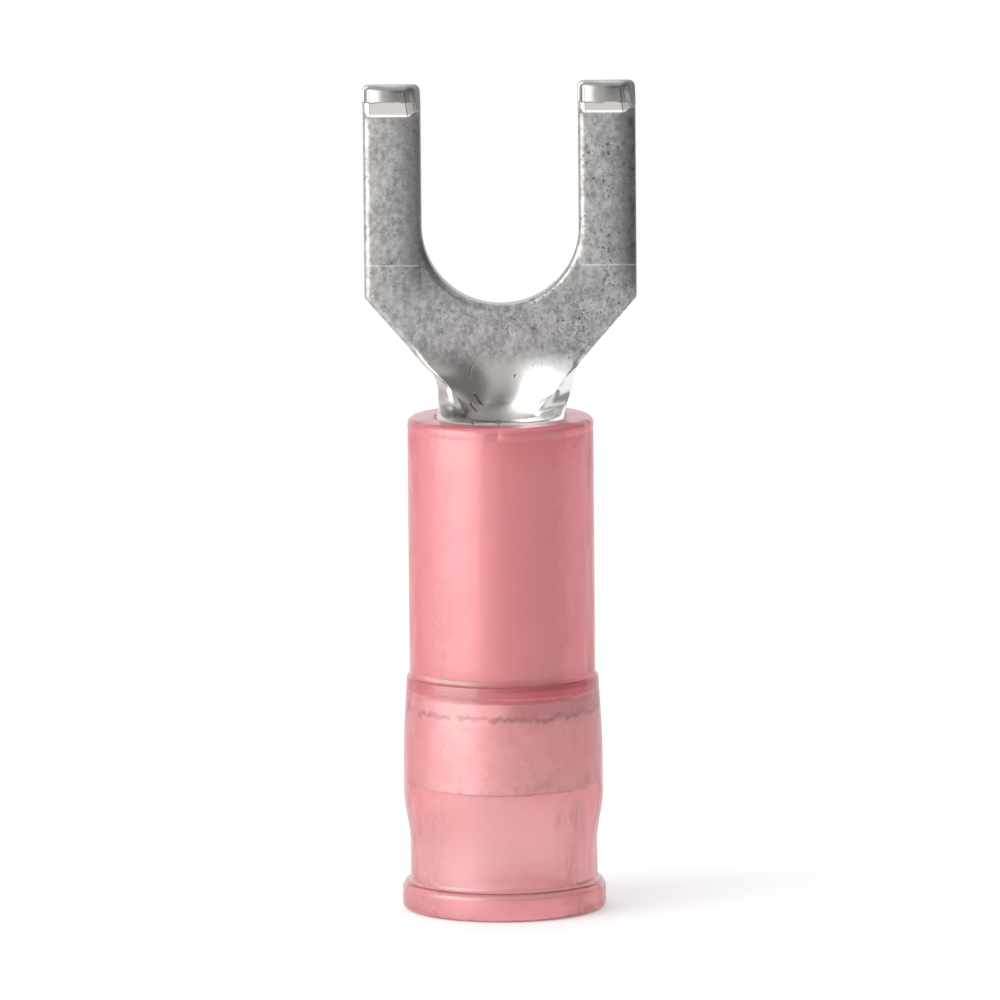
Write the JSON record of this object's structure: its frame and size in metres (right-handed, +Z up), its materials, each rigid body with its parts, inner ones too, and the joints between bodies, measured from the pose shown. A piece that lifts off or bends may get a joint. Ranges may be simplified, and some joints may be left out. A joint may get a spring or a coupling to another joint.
{
  "type": "fork terminal",
  "caption": "Insulated crimp fork terminal: a tinned sheet fork with turned tips on a rolled, butt-seamed wire barrel, inside a translucent nylon sleeve with a flanged wire entry.",
  "frame": {"origin": "centre of the insulator's lower face, where the wire goes in", "axes": "+Z up the barrel axis to the fork, +Y out of the tongue's back face, -Y the side of the seam and the turned tips"},
  "size_m": [0.0076, 0.0056, 0.0231],
  "materials": {
    "tinned_copper": "satin tin plate over copper",
    "sleeve_metal": "satin tin plate over copper",
    "nylon": "translucent pink nylon, semi-gloss"
  },
  "bodies": {
    "root": {"terminal": "tinned_copper", "insulation_sleeve": "sleeve_metal", "insulator": "nylon"}
  },
  "joints": []
}
